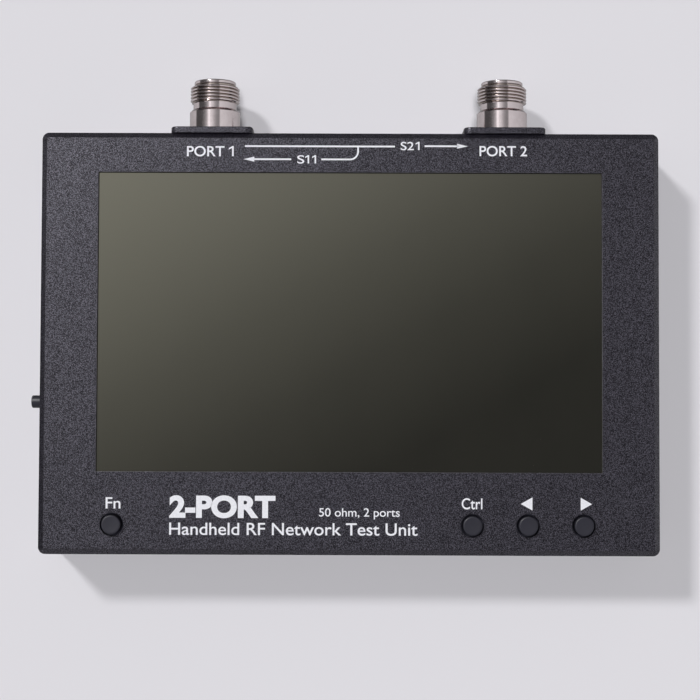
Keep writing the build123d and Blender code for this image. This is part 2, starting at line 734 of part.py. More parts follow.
parts["front_housing"] = make_front_housing()
parts["rear_cover"] = make_rear_cover()
parts["cover_screws"] = make_cover_screws()
parts["rubber_feet"] = make_rubber_feet()
parts["window_gasket"] = make_window_gasket()
parts["cover_glass"] = make_cover_glass()
parts["lcd_panel"] = display_layer(PANEL_UNDER, GLASS_UNDER)
parts["light_guide"] = display_layer(LIGHT_GUIDE_UNDER, PANEL_UNDER)
parts["display_frame"] = make_display_frame()
parts["foam_pads"] = make_foam_pads()
parts["display_flex"] = make_display_flex()
parts["flex_connector"] = make_flex_connector()
parts["main_board"] = make_board(
    MAIN_BOARD_HALF_W, MAIN_BOARD_Y, MAIN_BOARD_TOP, BOSS_XY + STANDOFF_XY
)
parts["main_board_chips"] = make_main_board_chips()
parts["board_screws"] = make_board_screws()
parts["tact_switches"] = make_tact_switches()
parts["rf_board"] = make_board(RF_BOARD_HALF_W, RF_BOARD_Y, RF_BOARD_TOP, STANDOFF_XY)
parts["rf_shield_cans"] = make_rf_shield_cans()
parts["board_header"] = make_board_header()
parts["rf_standoffs"] = make_rf_standoffs()
parts["standoff_nuts"] = make_standoff_nuts()
parts["rf_board_screws"] = make_rf_board_screws()
for key, key_x in KEY_X.items():
    parts[f"{key}_key"] = make_key(key_x)
    parts[f"{key}_plunger"] = make_plunger(key_x)
parts["power_button"] = make_power_button()
parts["power_plunger"] = make_power_plunger()
parts["power_switch"] = make_power_switch()
parts["usb_c_shell"] = make_usb_shell()
parts["usb_c_tongue"] = make_usb_tongue()
parts["status_light_pipe"] = make_light_pipe()
parts["status_led"] = make_status_led()
for port, port_x in PORT_X.items():
    parts[f"{port}_flange"] = make_port_flange(port_x)
    parts[f"{port}_body"] = make_port_body(port_x)
    parts[f"{port}_insulator"] = make_port_insulator(port_x)
    parts[f"{port}_contact"] = make_port_contact(port_x)
    parts[f"{port}_nut"] = make_port_nut(port_x)
parts["flange_screws"] = make_flange_screws()
parts["battery_pack"] = make_battery_pack()
parts["battery_pads"] = make_battery_pads()
parts["battery_lead"] = make_battery_lead()
parts["battery_socket"] = make_battery_socket()

os.makedirs("parts", exist_ok=True)
for node, shape in parts.items():
    export_step(shape, f"parts/{node}.step")
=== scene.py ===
import json
import math

import bmesh
import bpy
from mathutils import Matrix, Vector


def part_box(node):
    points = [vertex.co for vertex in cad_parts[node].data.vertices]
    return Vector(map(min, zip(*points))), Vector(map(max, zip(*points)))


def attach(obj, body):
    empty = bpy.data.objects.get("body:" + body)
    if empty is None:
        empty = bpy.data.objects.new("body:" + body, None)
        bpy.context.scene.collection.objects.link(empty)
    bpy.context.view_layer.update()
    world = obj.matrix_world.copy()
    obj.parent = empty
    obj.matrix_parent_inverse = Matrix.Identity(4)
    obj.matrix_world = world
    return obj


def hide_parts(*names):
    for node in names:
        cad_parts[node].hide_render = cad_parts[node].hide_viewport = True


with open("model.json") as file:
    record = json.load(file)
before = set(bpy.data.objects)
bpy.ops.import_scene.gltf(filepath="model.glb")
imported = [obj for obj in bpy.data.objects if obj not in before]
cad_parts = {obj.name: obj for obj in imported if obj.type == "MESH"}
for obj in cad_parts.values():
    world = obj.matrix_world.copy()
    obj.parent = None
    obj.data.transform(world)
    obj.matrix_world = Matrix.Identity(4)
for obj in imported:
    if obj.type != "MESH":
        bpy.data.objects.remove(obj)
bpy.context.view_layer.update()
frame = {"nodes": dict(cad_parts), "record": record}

# The look of a handheld network analyzer. Everything is in metres in the row frame:
# +X to the right across the screen, +Y towards the ports, +Z out of the screen, and
# the origin on the resting plane under the middle of the case.

MM = 0.001
ROOT = "instrument"
KEYS = ("fn", "ctrl", "left", "right")
PORTS = ("port_1", "port_2")

FACE_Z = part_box("front_housing")[1].z
WINDOW_MIDDLE = Vector((0, 6.7 * MM))
WINDOW_HALF_W = 79.8 * MM
WINDOW_HALF_H = 47.45 * MM
WINDOW_LIP = 0.5 * MM

# The coaxial ports: sizes along the axis count from the flange's face. The thread's flank
# and crest are parts of its pitch.
FLANGE_BOXES = [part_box(f"{port}_flange") for port in PORTS]
PORT_XS = [(low.x + high.x) / 2 for low, high in FLANGE_BOXES]
PORTS_MIDDLE_X = sum(PORT_XS) / 2
PORTS_HALF_SPACING = (PORT_XS[1] - PORT_XS[0]) / 2
PORTS_Z = (FLANGE_BOXES[0][0].z + FLANGE_BOXES[0][1].z) / 2
PORT_FACE_Y = FLANGE_BOXES[0][1].y
PORT_BODY_R = 8.15 * MM
PORT_BODY_L = 7.25 * MM
PORT_BODY_CHAMFER = 0.9 * MM
NECK_R = 7.0 * MM
THREAD_START = 9.25 * MM
THREAD_END = 14.8 * MM
THREAD_R = 7.925 * MM
THREAD_ROOT_R = 7.27 * MM
THREAD_PITCH = 25.4 * MM / 24
THREAD_FLANK = 0.27
THREAD_CREST = 0.32
THREAD_END_SLOPE = 1.4
RELIEF_R = 6.5 * MM
NOSE_START = 15.25 * MM
NOSE_R = 6.7 * MM
NOSE_CHAMFER = 0.25 * MM
NOSE_ROUND = 0.4 * MM
PORT_TIP = 16.55 * MM
BORE_R = 4.2 * MM
BORE_L = 10.0 * MM
MOUTH_CHAMFER = 0.5 * MM
SHANK_R = 4.5 * MM
SHANK_REACH = 9.0 * MM
INSULATOR_R = 3.05 * MM


# ---------------------------------------------------------------- shader helpers
class Nodes:
    """Small steps of arithmetic in a node tree; a, b and factor are numbers or sockets."""

    def __init__(self, tree):
        self.tree = tree

    def feed(self, socket, value):
        if isinstance(value, bpy.types.NodeSocket):
            self.tree.links.new(value, socket)
        else:
            socket.default_value = value

    def math(self, operation, a, b=0.0):
        node = self.tree.nodes.new("ShaderNodeMath")
        node.operation = operation
        self.feed(node.inputs[0], a)
        self.feed(node.inputs[1], b)
        return node.outputs["Value"]

    def add(self, a, b):
        return self.math("ADD", a, b)

    def times(self, a, b):
        return self.math("MULTIPLY", a, b)

    def split(self, vector):
        """A vector's X, Y and Z."""
        node = self.tree.nodes.new("ShaderNodeSeparateXYZ")
        self.tree.links.new(vector, node.inputs["Vector"])
        return node.outputs


class Shader(Nodes):
    """A material's node tree around one Principled shader, in object coordinates."""

    def __init__(self, name):
        self.material = bpy.data.materials.new(name)
        self.material.use_nodes = True
        super().__init__(self.material.node_tree)
        self.surface = self.tree.nodes["Principled BSDF"]
        self.coordinates = self.tree.nodes.new("ShaderNodeTexCoord").outputs["Object"]

    def set(self, **values):
        for name, value in values.items():
            self.surface.inputs[name.replace("_", " ")].default_value = value

    def link(self, name, socket):
        self.tree.links.new(socket, self.surface.inputs[name])

    def stretched(self, scale):
        """Object coordinates in units of 1/scale metres along each axis."""
        node = self.tree.nodes.new("ShaderNodeMapping")
        node.inputs["Scale"].default_value = scale
        self.tree.links.new(self.coordinates, node.inputs["Vector"])
        return node.outputs["Vector"]

    def noise(self, size, detail=3.0, roughness=0.55, stretch=(1, 1, 1)):
        """Noise whose features are about size metres across."""
        node = self.tree.nodes.new("ShaderNodeTexNoise")
        node.inputs["Scale"].default_value = 1.0
        node.inputs["Detail"].default_value = detail
        node.inputs["Roughness"].default_value = roughness
        scale = [factor / size for factor in stretch]
        self.tree.links.new(self.stretched(scale), node.inputs["Vector"])
        return node.outputs["Fac"]

    def cells(self, size, feature="F1"):
        """Voronoi cells about size metres across."""
        node = self.tree.nodes.new("ShaderNodeTexVoronoi")
        node.feature = feature
        node.inputs["Scale"].default_value = 1.0
        self.tree.links.new(self.stretched([1 / size] * 3), node.inputs["Vector"])
        return node.outputs["Distance"]

    def ramp(self, socket, *stops):
        """Turns a factor into colours; each stop is (position, colour or grey)."""
        node = self.tree.nodes.new("ShaderNodeValToRGB")
        elements = node.color_ramp.elements
        while len(elements) < len(stops):
            elements.new(0.5)
        for element, (position, colour) in zip(elements, stops):
            element.position = position
            if isinstance(colour, (int, float)):
                colour = (colour, colour, colour)
            element.color = (*colour, 1)
        self.tree.links.new(socket, node.inputs["Fac"])
        return node.outputs["Color"]

    def mix(self, factor, a, b):
        """Mixes two colour sockets or colours by a factor socket."""
        node = self.tree.nodes.new("ShaderNodeMix")
        node.data_type = "RGBA"
        self.tree.links.new(factor, node.inputs["Factor"])
        for socket, value in ((node.inputs["A"], a), (node.inputs["B"], b)):
            if isinstance(value, tuple):
                socket.default_value = (*value, 1)
            else:
                self.tree.links.new(value, socket)
        return node.outputs["Result"]

    def thread_grooves(self):
        """1 in the threads' grooves and the reliefs beyond, by the distance from the axes."""
        x, y, z = self.split(self.coordinates)
        aside = self.math("ABSOLUTE", self.math("SUBTRACT", x, PORTS_MIDDLE_X))
        across = self.math("SUBTRACT", aside, PORTS_HALF_SPACING)
        above = self.math("SUBTRACT", z, PORTS_Z)
        square = self.add(self.times(across, across), self.times(above, above))
        radius = self.times(self.math("SQRT", square), 1 / THREAD_R)
        low = self.ramp(radius, (0.925, 1.0), (0.985, 0.0))
        outside = self.math("GREATER_THAN", y, PORT_FACE_Y + THREAD_START)
        inside = self.math("LESS_THAN", y, PORT_FACE_Y + NOSE_START)
        return self.times(low, self.times(outside, inside))

    def upwards(self):
        """The Z part of the surface's own direction: 1 facing up, 0 upright."""
        geometry = self.tree.nodes.new("ShaderNodeNewGeometry")
        return self.split(geometry.outputs["True Normal"])["Z"]

    def slanted(self):
        """1 on faces that lean between level and upright, such as chamfers, else 0."""
        lean = self.math("ABSOLUTE", self.upwards())
        return self.ramp(lean, (0.1, 0.0), (0.4, 1.0), (0.85, 1.0), (0.97, 0.0))

    def window_lip(self):
        """1 on the window's rounded lip, else 0."""
        lip = self.ramp(self.upwards(), (0.1, 0.0), (0.3, 1.0), (0.985, 1.0), (0.997, 0.0))
        x, y, _ = self.split(self.coordinates)
        for value, middle, half in ((x, WINDOW_MIDDLE.x, WINDOW_HALF_W),
                                    (y, WINDOW_MIDDLE.y, WINDOW_HALF_H)):
            away = self.math("ABSOLUTE", self.math("SUBTRACT", value, middle))
            lip = self.times(lip, self.math("LESS_THAN", away, half + WINDOW_LIP))
        return lip

    def edges(self, low, high):
        """Rises from 0 to 1 on convex edges, where a finish wears first."""
        geometry = self.tree.nodes.new("ShaderNodeNewGeometry")
        return self.ramp(geometry.outputs["Pointiness"], (low, 0.0), (high, 1.0))

    def bump(self, height, strength, depth):
        """Adds relief of a depth in metres to what the surface already has."""
        node = self.tree.nodes.new("ShaderNodeBump")
        node.inputs["Strength"].default_value = strength
        node.inputs["Distance"].default_value = depth
        self.tree.links.new(height, node.inputs["Height"])
        earlier = self.surface.inputs["Normal"].links
        if earlier:
            self.tree.links.new(earlier[0].from_socket, node.inputs["Normal"])
        self.tree.links.new(node.outputs["Normal"], self.surface.inputs["Normal"])


# ---------------------------------------------------------------- materials
def powder_coat():
    """Fine wrinkle black powder coat: small ridges that catch light, rubbed on slanted edges.

    The window's lip is rubbed smooth, so it reflects more all round.
    """
    look = Shader("powder_coat")
    grain = look.noise(0.26 * MM, detail=1.0, roughness=0.6)
    patches = look.noise(30 * MM, detail=2.0)
    rubbed = look.noise(4 * MM, detail=4.0)
    lip = look.window_lip()
    colour = look.ramp(grain, (0.42, (0.0015, 0.0013, 0.002)), (0.7, (0.031, 0.0275, 0.042)))
    wear = look.times(look.slanted(), look.ramp(rubbed, (0.55, 0.0), (0.75, 0.25)))
    worn = look.mix(wear, colour, (0.04, 0.038, 0.044))
    look.link("Base Color", look.mix(lip, worn, (0.015, 0.014, 0.016)))
    roughness = look.add(look.times(patches, 0.08), 0.32)
    look.link("Roughness", look.mix(lip, roughness, (0.46,) * 3))
    gloss = look.ramp(grain, (0.42, 0.17), (0.7, 1.24))
    look.link("Specular IOR Level", look.mix(lip, gloss, (2.2,) * 3))
    look.set(IOR=1.7, Specular_Tint=(0.9, 0.88, 1.0, 1))
    look.bump(grain, 0.75, 0.085 * MM)
    return look.material


def screen_glass():
    """Dark unlit screen behind hard-coated glass, with a few faint smears."""
    look = Shader("screen_glass")
    smears = look.noise(22 * MM, detail=4.0, roughness=0.6, stretch=(1, 0.45, 1))
    specks = look.noise(1.6 * MM, detail=2.0)
    dark = look.ramp(smears, (0.3, (0.0105, 0.0105, 0.0095)), (0.75, (0.0135, 0.0132, 0.0118)))
    look.link("Base Color", dark)
    look.link("Roughness", look.add(look.times(smears, 0.06), look.times(specks, 0.02)))
    look.set(IOR=1.6, Specular_IOR_Level=0.9, Specular_Tint=(1.0, 0.96, 0.66, 1))
    look.set(Coat_Weight=1.0, Coat_Roughness=0.05, Coat_IOR=1.52)
    return look.material


def nickel():
    """Bright nickel on turned brass: fine rings around the port's axis, darker in the thread's
    grooves.
    """
    look = Shader("nickel_plate")
    rings = look.noise(0.09 * MM, detail=2.0, stretch=(0.02, 1, 0.02))
    stain = look.noise(3.0 * MM, detail=3.0)
    clean = look.ramp(stain, (0.3, (0.74, 0.655, 0.66)), (0.7, (0.82, 0.735, 0.74)))
    # A darker base colour in the thread's grooves and the relief beyond them.
    groove_darkening = look.thread_grooves()
    look.link("Base Color", look.mix(groove_darkening, clean, (0.46, 0.4, 0.37)))
    look.link("Roughness", look.add(look.times(rings, 0.08), 0.09))
    look.set(Metallic=1.0)
    look.bump(rings, 0.05, 0.02 * MM)
    return look.material


def gold():
    look = Shader("gold_plate")
    rings = look.noise(0.08 * MM, detail=2.0, stretch=(0.05, 1, 0.05))
    look.link("Base Color", look.ramp(rings, (0.3, (0.80, 0.56, 0.22)), (0.7, (0.92, 0.70, 0.32))))
    look.link("Roughness", look.add(look.times(rings, 0.15), 0.14))
    look.set(Metallic=1.0)
    look.bump(rings, 0.1, 0.01 * MM)
    return look.material


def brass():
    look = Shader("brass")
    stain = look.noise(1.5 * MM, detail=4.0)
    look.link("Base Color", look.ramp(stain, (0.3, (0.52, 0.36, 0.13)), (0.7, (0.72, 0.54, 0.24))))
    look.link("Roughness", look.add(look.times(stain, 0.25), 0.2))
    look.set(Metallic=1.0)
    return look.material


def bare_steel():
    """Tin-plated sheet with a rolled grain."""
    look = Shader("bare_steel")
    grain = look.noise(0.12 * MM, detail=3.0, stretch=(0.03, 1, 1))
    look.link("Base Color", look.ramp(grain, (0.3, (0.50, 0.50, 0.49)), (0.7, (0.66, 0.66, 0.65))))
    look.link("Roughness", look.add(look.times(grain, 0.25), 0.22))
    look.set(Metallic=1.0)
    look.bump(grain, 0.15, 0.01 * MM)
    return look.material


def black_steel():
    """Black oxide, rubbed to bare steel on the edges of the drive."""
    look = Shader("black_steel")
    bloom = look.noise(0.6 * MM, detail=4.0)
    dark = look.ramp(bloom, (0.3, (0.012, 0.012, 0.013)), (0.75, (0.035, 0.034, 0.036)))
    look.link("Base Color", look.mix(look.edges(0.54, 0.66), dark, (0.22, 0.21, 0.2)))
    look.link("Roughness", look.add(look.times(bloom, 0.3), 0.25))
    look.set(Metallic=0.6)
    look.bump(bloom, 0.2, 0.01 * MM)
    return look.material


def moulded(name, dark, light, roughness, grain_size, relief):
    """A moulded plastic or rubber with a spark-eroded texture."""
    look = Shader(name)
    grain = look.noise(grain_size, detail=3.0)
    broad = look.noise(6 * MM, detail=2.0)
    look.link("Base Color", look.ramp(broad, (0.3, dark), (0.7, light)))
    look.link("Roughness", look.add(look.times(grain, 0.16), roughness - 0.08))
    look.bump(grain, 0.4, relief)
    return look


def key_plastic():
    look = moulded("key_black", (0.020, 0.0195, 0.028), (0.0235, 0.023, 0.0335), 0.42,
                   0.14 * MM, 0.008 * MM)
    look.set(Specular_IOR_Level=0.42)
    return look.material


def rubber():
    look = moulded("foot_rubber", (0.012, 0.012, 0.012), (0.022, 0.022, 0.021), 0.78,
                   0.2 * MM, 0.02 * MM)
    return look.material


def foam():
    look = Shader("gasket_foam")
    pores = look.cells(0.25 * MM)
    look.link("Base Color", look.ramp(pores, (0.1, 0.008), (0.6, 0.022)))
    look.set(Roughness=0.95)
    look.bump(pores, 0.6, 0.05 * MM)
    return look.material


def fluoropolymer():
    """White turned plastic, a little translucent, with tool rings."""
    look = Shader("insulator_white")
    rings = look.noise(0.12 * MM, detail=2.0, stretch=(0.05, 1, 0.05))
    look.link("Base Color", look.ramp(rings, (0.3, (0.72, 0.72, 0.70)), (0.7, (0.82, 0.82, 0.80))))
    look.set(Roughness=0.42, Subsurface_Weight=0.15, Subsurface_Scale=0.5 * MM)
    look.bump(rings, 0.2, 0.02 * MM)
    return look.material


def clear_moulding():
    look = Shader("light_pipe_clear")
    flow = look.noise(0.8 * MM, detail=2.0)
    look.link("Base Color", look.ramp(flow, (0.3, (0.80, 0.84, 0.85)), (0.7, (0.90, 0.93, 0.93))))
    look.set(Roughness=0.12, IOR=1.49, Transmission_Weight=0.75)
    return look.material


def ink():
    """Screen-printed white: even, slightly thin over the coat's ridges."""
    look = Shader("legend_ink")
    ridges = look.noise(0.5 * MM, detail=2.0)
    look.link("Base Color", look.ramp(ridges, (0.3, (0.80, 0.80, 0.86)), (0.6, (0.90, 0.90, 0.95))))
    look.set(Roughness=0.55)
    look.bump(ridges, 0.25, 0.02 * MM)
    return look.material


def circuit_board():
    """Green solder mask over copper runs."""
    look = Shader("board_green")
    runs = look.cells(2.2 * MM, feature="DISTANCE_TO_EDGE")
    weave = look.noise(0.5 * MM, detail=2.0)
    copper = look.ramp(runs, (0.04, 1.0), (0.07, 0.0))
    mask = look.ramp(weave, (0.3, (0.008, 0.075, 0.028)), (0.7, (0.012, 0.10, 0.036)))
    look.link("Base Color", look.mix(copper, mask, (0.03, 0.17, 0.06)))
    look.set(Roughness=0.3)
    look.bump(copper, 0.3, 0.03 * MM)
    return look.material


def speckled(name, dark, light, roughness, size, metallic=0.0):
    """A plain inner material with some life in its colour and gloss."""
    look = Shader(name)
    spots = look.noise(size, detail=4.0)
    look.link("Base Color", look.ramp(spots, (0.3, dark), (0.7, light)))
    look.link("Roughness", look.add(look.times(spots, 0.2), roughness - 0.1))
    look.set(Metallic=metallic)
    look.bump(spots, 0.2, 0.01 * MM)
    return look.material


MATERIALS = {
    "powder_coat": powder_coat(),
    "black_steel": black_steel(),
    "foot_rubber": rubber(),
    "gasket_foam": foam(),
    "cover_glass": screen_glass(),
    "panel_black": speckled("panel_black", (0.01,) * 3, (0.016,) * 3, 0.25, 8 * MM),
    "diffuser_white": speckled("diffuser_white", (0.74,) * 3, (0.82,) * 3, 0.5, 2 * MM),
    "bare_steel": bare_steel(),
    "flex_amber": speckled("flex_amber", (0.36, 0.15, 0.02), (0.5, 0.24, 0.04), 0.35, MM),
    "connector_ivory": speckled("connector_ivory", (0.66, 0.6, 0.46), (0.76, 0.7, 0.56),
                                0.5, MM),
    "board_green": circuit_board(),
    "chip_black": speckled("chip_black", (0.014,) * 3, (0.026,) * 3, 0.6, 0.3 * MM),
    "brass": brass(),
    "gold_plate": gold(),
    "nickel_plate": nickel(),
    "insulator_white": fluoropolymer(),
    "key_black": key_plastic(),
    "light_pipe_clear": clear_moulding(),
    "battery_foil": speckled("battery_foil", (0.42,) * 3, (0.58,) * 3, 0.35, 5 * MM, 1.0),
    "lead_red": speckled("lead_red", (0.42, 0.02, 0.015), (0.52, 0.03, 0.02), 0.4, MM),
    "legend_ink": ink(),
}

SLOT_OF = {part["node"]: part["material_slot"] for part in frame["record"]["subparts"]}


# ---------------------------------------------------------------- mesh helpers
def finish_piece(obj, slot, body=ROOT, replaced=()):
    """Gives a new piece its material and its body, and hides the CAD nodes that it stands for."""
    obj.data.materials.clear()
    obj.data.materials.append(MATERIALS[slot])
    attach(obj, body)
    if replaced:
        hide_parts(*replaced)
    return obj


def new_object(name, mesh):
    obj = bpy.data.objects.new(name, mesh)
    bpy.context.scene.collection.objects.link(obj)
    return obj


def smooth(mesh, degrees=35):
    """Smooth shading, kept sharp where faces meet at more than an angle."""
    mesh.polygons.foreach_set("use_smooth", [True] * len(mesh.polygons))
    mesh.set_sharp_from_angle(angle=math.radians(degrees))


def mesh_from_bmesh(name, bm):
    bmesh.ops.recalc_face_normals(bm, faces=bm.faces)
    mesh = bpy.data.meshes.new(name)
    bm.to_mesh(mesh)
    bm.free()
    return mesh


def applied(obj):
    """Gives the object the mesh that its modifiers make of it."""
    depsgraph = bpy.context.evaluated_depsgraph_get()
    mesh = bpy.data.meshes.new_from_object(obj.evaluated_get(depsgraph))
    obj.modifiers.clear()
    obj.data = mesh


def softened(node, width, segments=2):
    """A CAD node's shape with its hard edges rounded, in place of the node."""
    bm = bmesh.new()
    bm.from_mesh(frame["nodes"][node].data)
    bmesh.ops.remove_doubles(bm, verts=bm.verts, dist=1e-6)
    bmesh.ops.dissolve_limit(bm, angle_limit=math.radians(0.5), verts=bm.verts, edges=bm.edges)
    bm.verts.index_update()
    points = [tuple(vertex.co) for vertex in bm.verts]
    polygons = [[vertex.index for vertex in face.verts] for face in bm.faces]
    bm.free()
    mesh = bpy.data.meshes.new(f"{node}_look")
    mesh.from_pydata(points, [], polygons)
    obj = new_object(f"{node}_look", mesh)
    bevel = obj.modifiers.new("round", "BEVEL")
    bevel.width = width
    bevel.segments = segments
    bevel.limit_method = "ANGLE"
    bevel.angle_limit = math.radians(30)
    bevel.use_clamp_overlap = True
    applied(obj)
    smooth(obj.data, 50)
    weighted = obj.modifiers.new("flat", "WEIGHTED_NORMAL")
    weighted.weight = 100
    weighted.keep_sharp = True
    applied(obj)
    return finish_piece(obj, SLOT_OF[node], body_of_node(node), (node,))


def body_of_node(node):
    for body, members in frame["record"]["behaviour"]["bodies"].items():
        if node in members:
            return body
    return ROOT


def lathe(name, profile, segments, place, closed=False):
    """Turns a profile of (radius, distance) about local Z; place maps it to the frame.

    A closed profile makes a ring; an open one has to start and end on the axis.
    """
    bm = bmesh.new()
    rings = []
    for radius, along in profile:
        if radius <= 0:
            rings.append([bm.verts.new(place @ Vector((0, 0, along)))])
            continue
        turn = 2 * math.pi / segments
        rings.append([
            bm.verts.new(place @ Vector((radius * math.cos(i * turn),
                                         radius * math.sin(i * turn), along)))
            for i in range(segments)
        ])
    pairs = list(zip(rings, rings[1:]))
    if closed:
        pairs.append((rings[-1], rings[0]))
    for low, high in pairs:
        for i in range(segments):
            j = (i + 1) % segments
            corners = [low[i % len(low)], low[j % len(low)],
                       high[j % len(high)], high[i % len(high)]]
            unique = list(dict.fromkeys(corners))
            if len(unique) > 2:
                bm.faces.new(unique)
    mesh = mesh_from_bmesh(name, bm)
    smooth(mesh)
    return new_object(name, mesh)


def arc(centre, radius, start, end, steps):
    """Points of a round corner; angles in degrees from the first axis."""
    points = []
    for i in range(steps + 1):
        angle = math.radians(start + (end - start) * i / steps)
        points.append((centre[0] + radius * math.cos(angle),
                       centre[1] + radius * math.sin(angle)))
    return points


# ---------------------------------------------------------------- case
def make_case():
    softened("front_housing", 0.28 * MM, segments=3)
    softened("rear_cover", 0.15 * MM)
    softened("cover_screws", 0.06 * MM)
    softened("window_gasket", 0.04 * MM)


# Each foot's name and the sides of X and Y that it stands on.
FEET = (("front_left", -1, -1), ("back_left", -1, 1), ("front_right", 1, -1),
        ("back_right", 1, 1))
FOOT_R = 7.0 * MM
FOOT_ROUND = 0.5 * MM
FOOT_RING_OUTER_R = 5.0 * MM
FOOT_RING_INNER_R = 3.7 * MM
FOOT_RING_DEPTH = 0.35 * MM
FOOT_RING_DRAFT = 0.2 * MM


def make_feet():
    """Moulded feet with a shallow ring in the sole."""
    low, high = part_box("rubber_feet")
    profile = [(0, high.z), (FOOT_R - 0.1 * MM, high.z)]
    profile += arc((FOOT_R - FOOT_ROUND, FOOT_ROUND), FOOT_ROUND, 0, -90, 5)
    profile += [(FOOT_RING_OUTER_R, 0), (FOOT_RING_OUTER_R - FOOT_RING_DRAFT, FOOT_RING_DEPTH),
                (FOOT_RING_INNER_R + FOOT_RING_DRAFT, FOOT_RING_DEPTH), (FOOT_RING_INNER_R, 0),
                (0, 0)]
    for name, side_x, side_y in FEET:
        x = side_x * (high.x - FOOT_R)
        y = (high.y - FOOT_R) if side_y > 0 else (low.y + FOOT_R)
        foot = lathe(f"foot_{name}", profile, 64, Matrix.Translation((x, y, 0)))
        finish_piece(foot, "foot_rubber", ROOT, ("rubber_feet",))


# ---------------------------------------------------------------- keys
KEY_R = 3.0 * MM
KEY_ROUND = 0.38 * MM
KEY_FILLET = 0.3 * MM
KEY_DISH = 0.07 * MM
KEY_FOOT_L = 1.0 * MM
POWER_R = 2.025 * MM
POWER_ROUND = 0.5 * MM
POWER_FACE_R = 1.175 * MM
POWER_FLANGE_L = 0.8 * MM
SMALL_CHAMFER = 0.1 * MM


def make_keys():
    """Round caps: a rounded rim and a slightly dished top, on the CAD foot."""
    for key in KEYS:
        low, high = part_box(f"{key}_key")
        centre = (low + high) / 2
        foot_r = (high.x - low.x) / 2
        foot_top = low.z + KEY_FOOT_L
        rim = KEY_R - KEY_ROUND
        profile = [(0, low.z), (foot_r - SMALL_CHAMFER, low.z), (foot_r, low.z + SMALL_CHAMFER),
                   (foot_r, foot_top - SMALL_CHAMFER), (foot_r - SMALL_CHAMFER, foot_top)]
        profile += arc((KEY_R + KEY_FILLET, foot_top + KEY_FILLET), KEY_FILLET, 270, 180, 4)
        profile += arc((rim, high.z - KEY_ROUND), KEY_ROUND, 0, 90, 8)
        profile += [(rim * part, high.z - KEY_DISH * (1 - part * part))
                    for part in (0.8, 0.55, 0.3, 0)]
        cap = lathe(f"{key}_key_cap", profile, 96, Matrix.Translation((centre.x, centre.y, 0)))
        finish_piece(cap, "key_black", f"{key}_button", (f"{key}_key",))


def make_power_button():
    low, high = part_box("power_button")
    centre = (low + high) / 2
    flange_r = (high.z - low.z) / 2
    reach = high.x - low.x
    flange_start = reach - POWER_FLANGE_L
    profile = [(0, 0), (POWER_FACE_R, 0)]
    profile += arc((POWER_R - POWER_ROUND, POWER_ROUND), POWER_ROUND, 270, 360, 6)
    profile += [(POWER_R, flange_start), (flange_r - SMALL_CHAMFER, flange_start),
                (flange_r, flange_start + SMALL_CHAMFER), (flange_r, reach), (0, reach)]
    place = Matrix.Translation((low.x, centre.y, centre.z)) @ Matrix.Rotation(
        math.radians(90), 4, "Y")
    button = lathe("power_button_cap", profile, 64, place)
    finish_piece(button, "key_black", "power_button_body", ("power_button",))


# ---------------------------------------------------------------- ports
def port_profile():
    """The outer conductor's section, once round: outside to the nose, then back inside."""
    outside = [
        (SHANK_R, -SHANK_REACH), (SHANK_R, 0), (PORT_BODY_R - 0.15 * MM, 0),
        (PORT_BODY_R, 0.15 * MM), (PORT_BODY_R, PORT_BODY_L - PORT_BODY_CHAMFER),
        (PORT_BODY_R - PORT_BODY_CHAMFER, PORT_BODY_L), (NECK_R, PORT_BODY_L),
        (NECK_R, THREAD_END - 0.2 * MM), (RELIEF_R, THREAD_END - 0.1 * MM),
        (RELIEF_R, NOSE_START), (NOSE_R - NOSE_CHAMFER, NOSE_START),
        (NOSE_R, NOSE_START + NOSE_CHAMFER), (NOSE_R, PORT_TIP - NOSE_ROUND - 0.1 * MM),
    ]
    rounded = arc((NOSE_R - NOSE_ROUND, PORT_TIP - NOSE_ROUND), NOSE_ROUND, 0, 90, 5)
    inside = [
        (BORE_R + MOUTH_CHAMFER, PORT_TIP), (BORE_R, PORT_TIP - MOUTH_CHAMFER),
        (BORE_R, PORT_TIP - BORE_L), (INSULATOR_R, PORT_TIP - BORE_L),
        (INSULATOR_R, -SHANK_REACH),
    ]
    return outside + rounded + inside


def thread_radius(phase, along):
    """The thread's radius at a phase of its pitch, cut back to the root at both ends."""
    rise = min(phase, 2 * THREAD_FLANK + THREAD_CREST - phase) / THREAD_FLANK
    height = (THREAD_R - THREAD_ROOT_R) * max(0.0, min(1.0, rise))
    from_end = min(along - THREAD_START, THREAD_END - along)
    return THREAD_ROOT_R + min(height, from_end * THREAD_END_SLOPE)


def thread_ring(name, place):
    """A right-hand thread between two flat ends, as a closed ring around the neck."""
    steps = 120
    thirds = (0, 1 / 3, 2 / 3)
    phases = [THREAD_FLANK * part for part in thirds]
    phases += [THREAD_FLANK, THREAD_FLANK + THREAD_CREST / 2]
    phases += [THREAD_FLANK + THREAD_CREST + THREAD_FLANK * part for part in (*thirds, 1)]
    turns = math.ceil((THREAD_END - THREAD_START) / THREAD_PITCH) + 1
    bm = bmesh.new()

    def vertex(step, radius, along):
        angle = 2 * math.pi * step / steps
        return bm.verts.new(place @ Vector((radius * math.cos(angle),
                                            radius * math.sin(angle), along)))

    columns = []
    for step in range(steps + 1):
        column = [vertex(step, NECK_R - 0.3 * MM, THREAD_START)]
        for turn in range(-1, turns):
            for phase in phases:
                along = THREAD_START + THREAD_PITCH * (turn + phase - step / steps)
                along = max(THREAD_START, min(THREAD_END, along))
                column.append(vertex(step, thread_radius(phase, along), along))
        column.append(vertex(step, NECK_R - 0.3 * MM, THREAD_END))
        columns.append(column)
    for left, right in zip(columns, columns[1:]):
        for i in range(len(left)):
            j = (i + 1) % len(left)
            bm.faces.new((left[i], left[j], right[j], right[i]))
    bmesh.ops.remove_doubles(bm, verts=bm.verts, dist=1e-7)
    bmesh.ops.dissolve_degenerate(bm, edges=bm.edges, dist=1e-7)
    mesh = mesh_from_bmesh(name, bm)
    smooth(mesh, 25)
    return new_object(name, mesh)


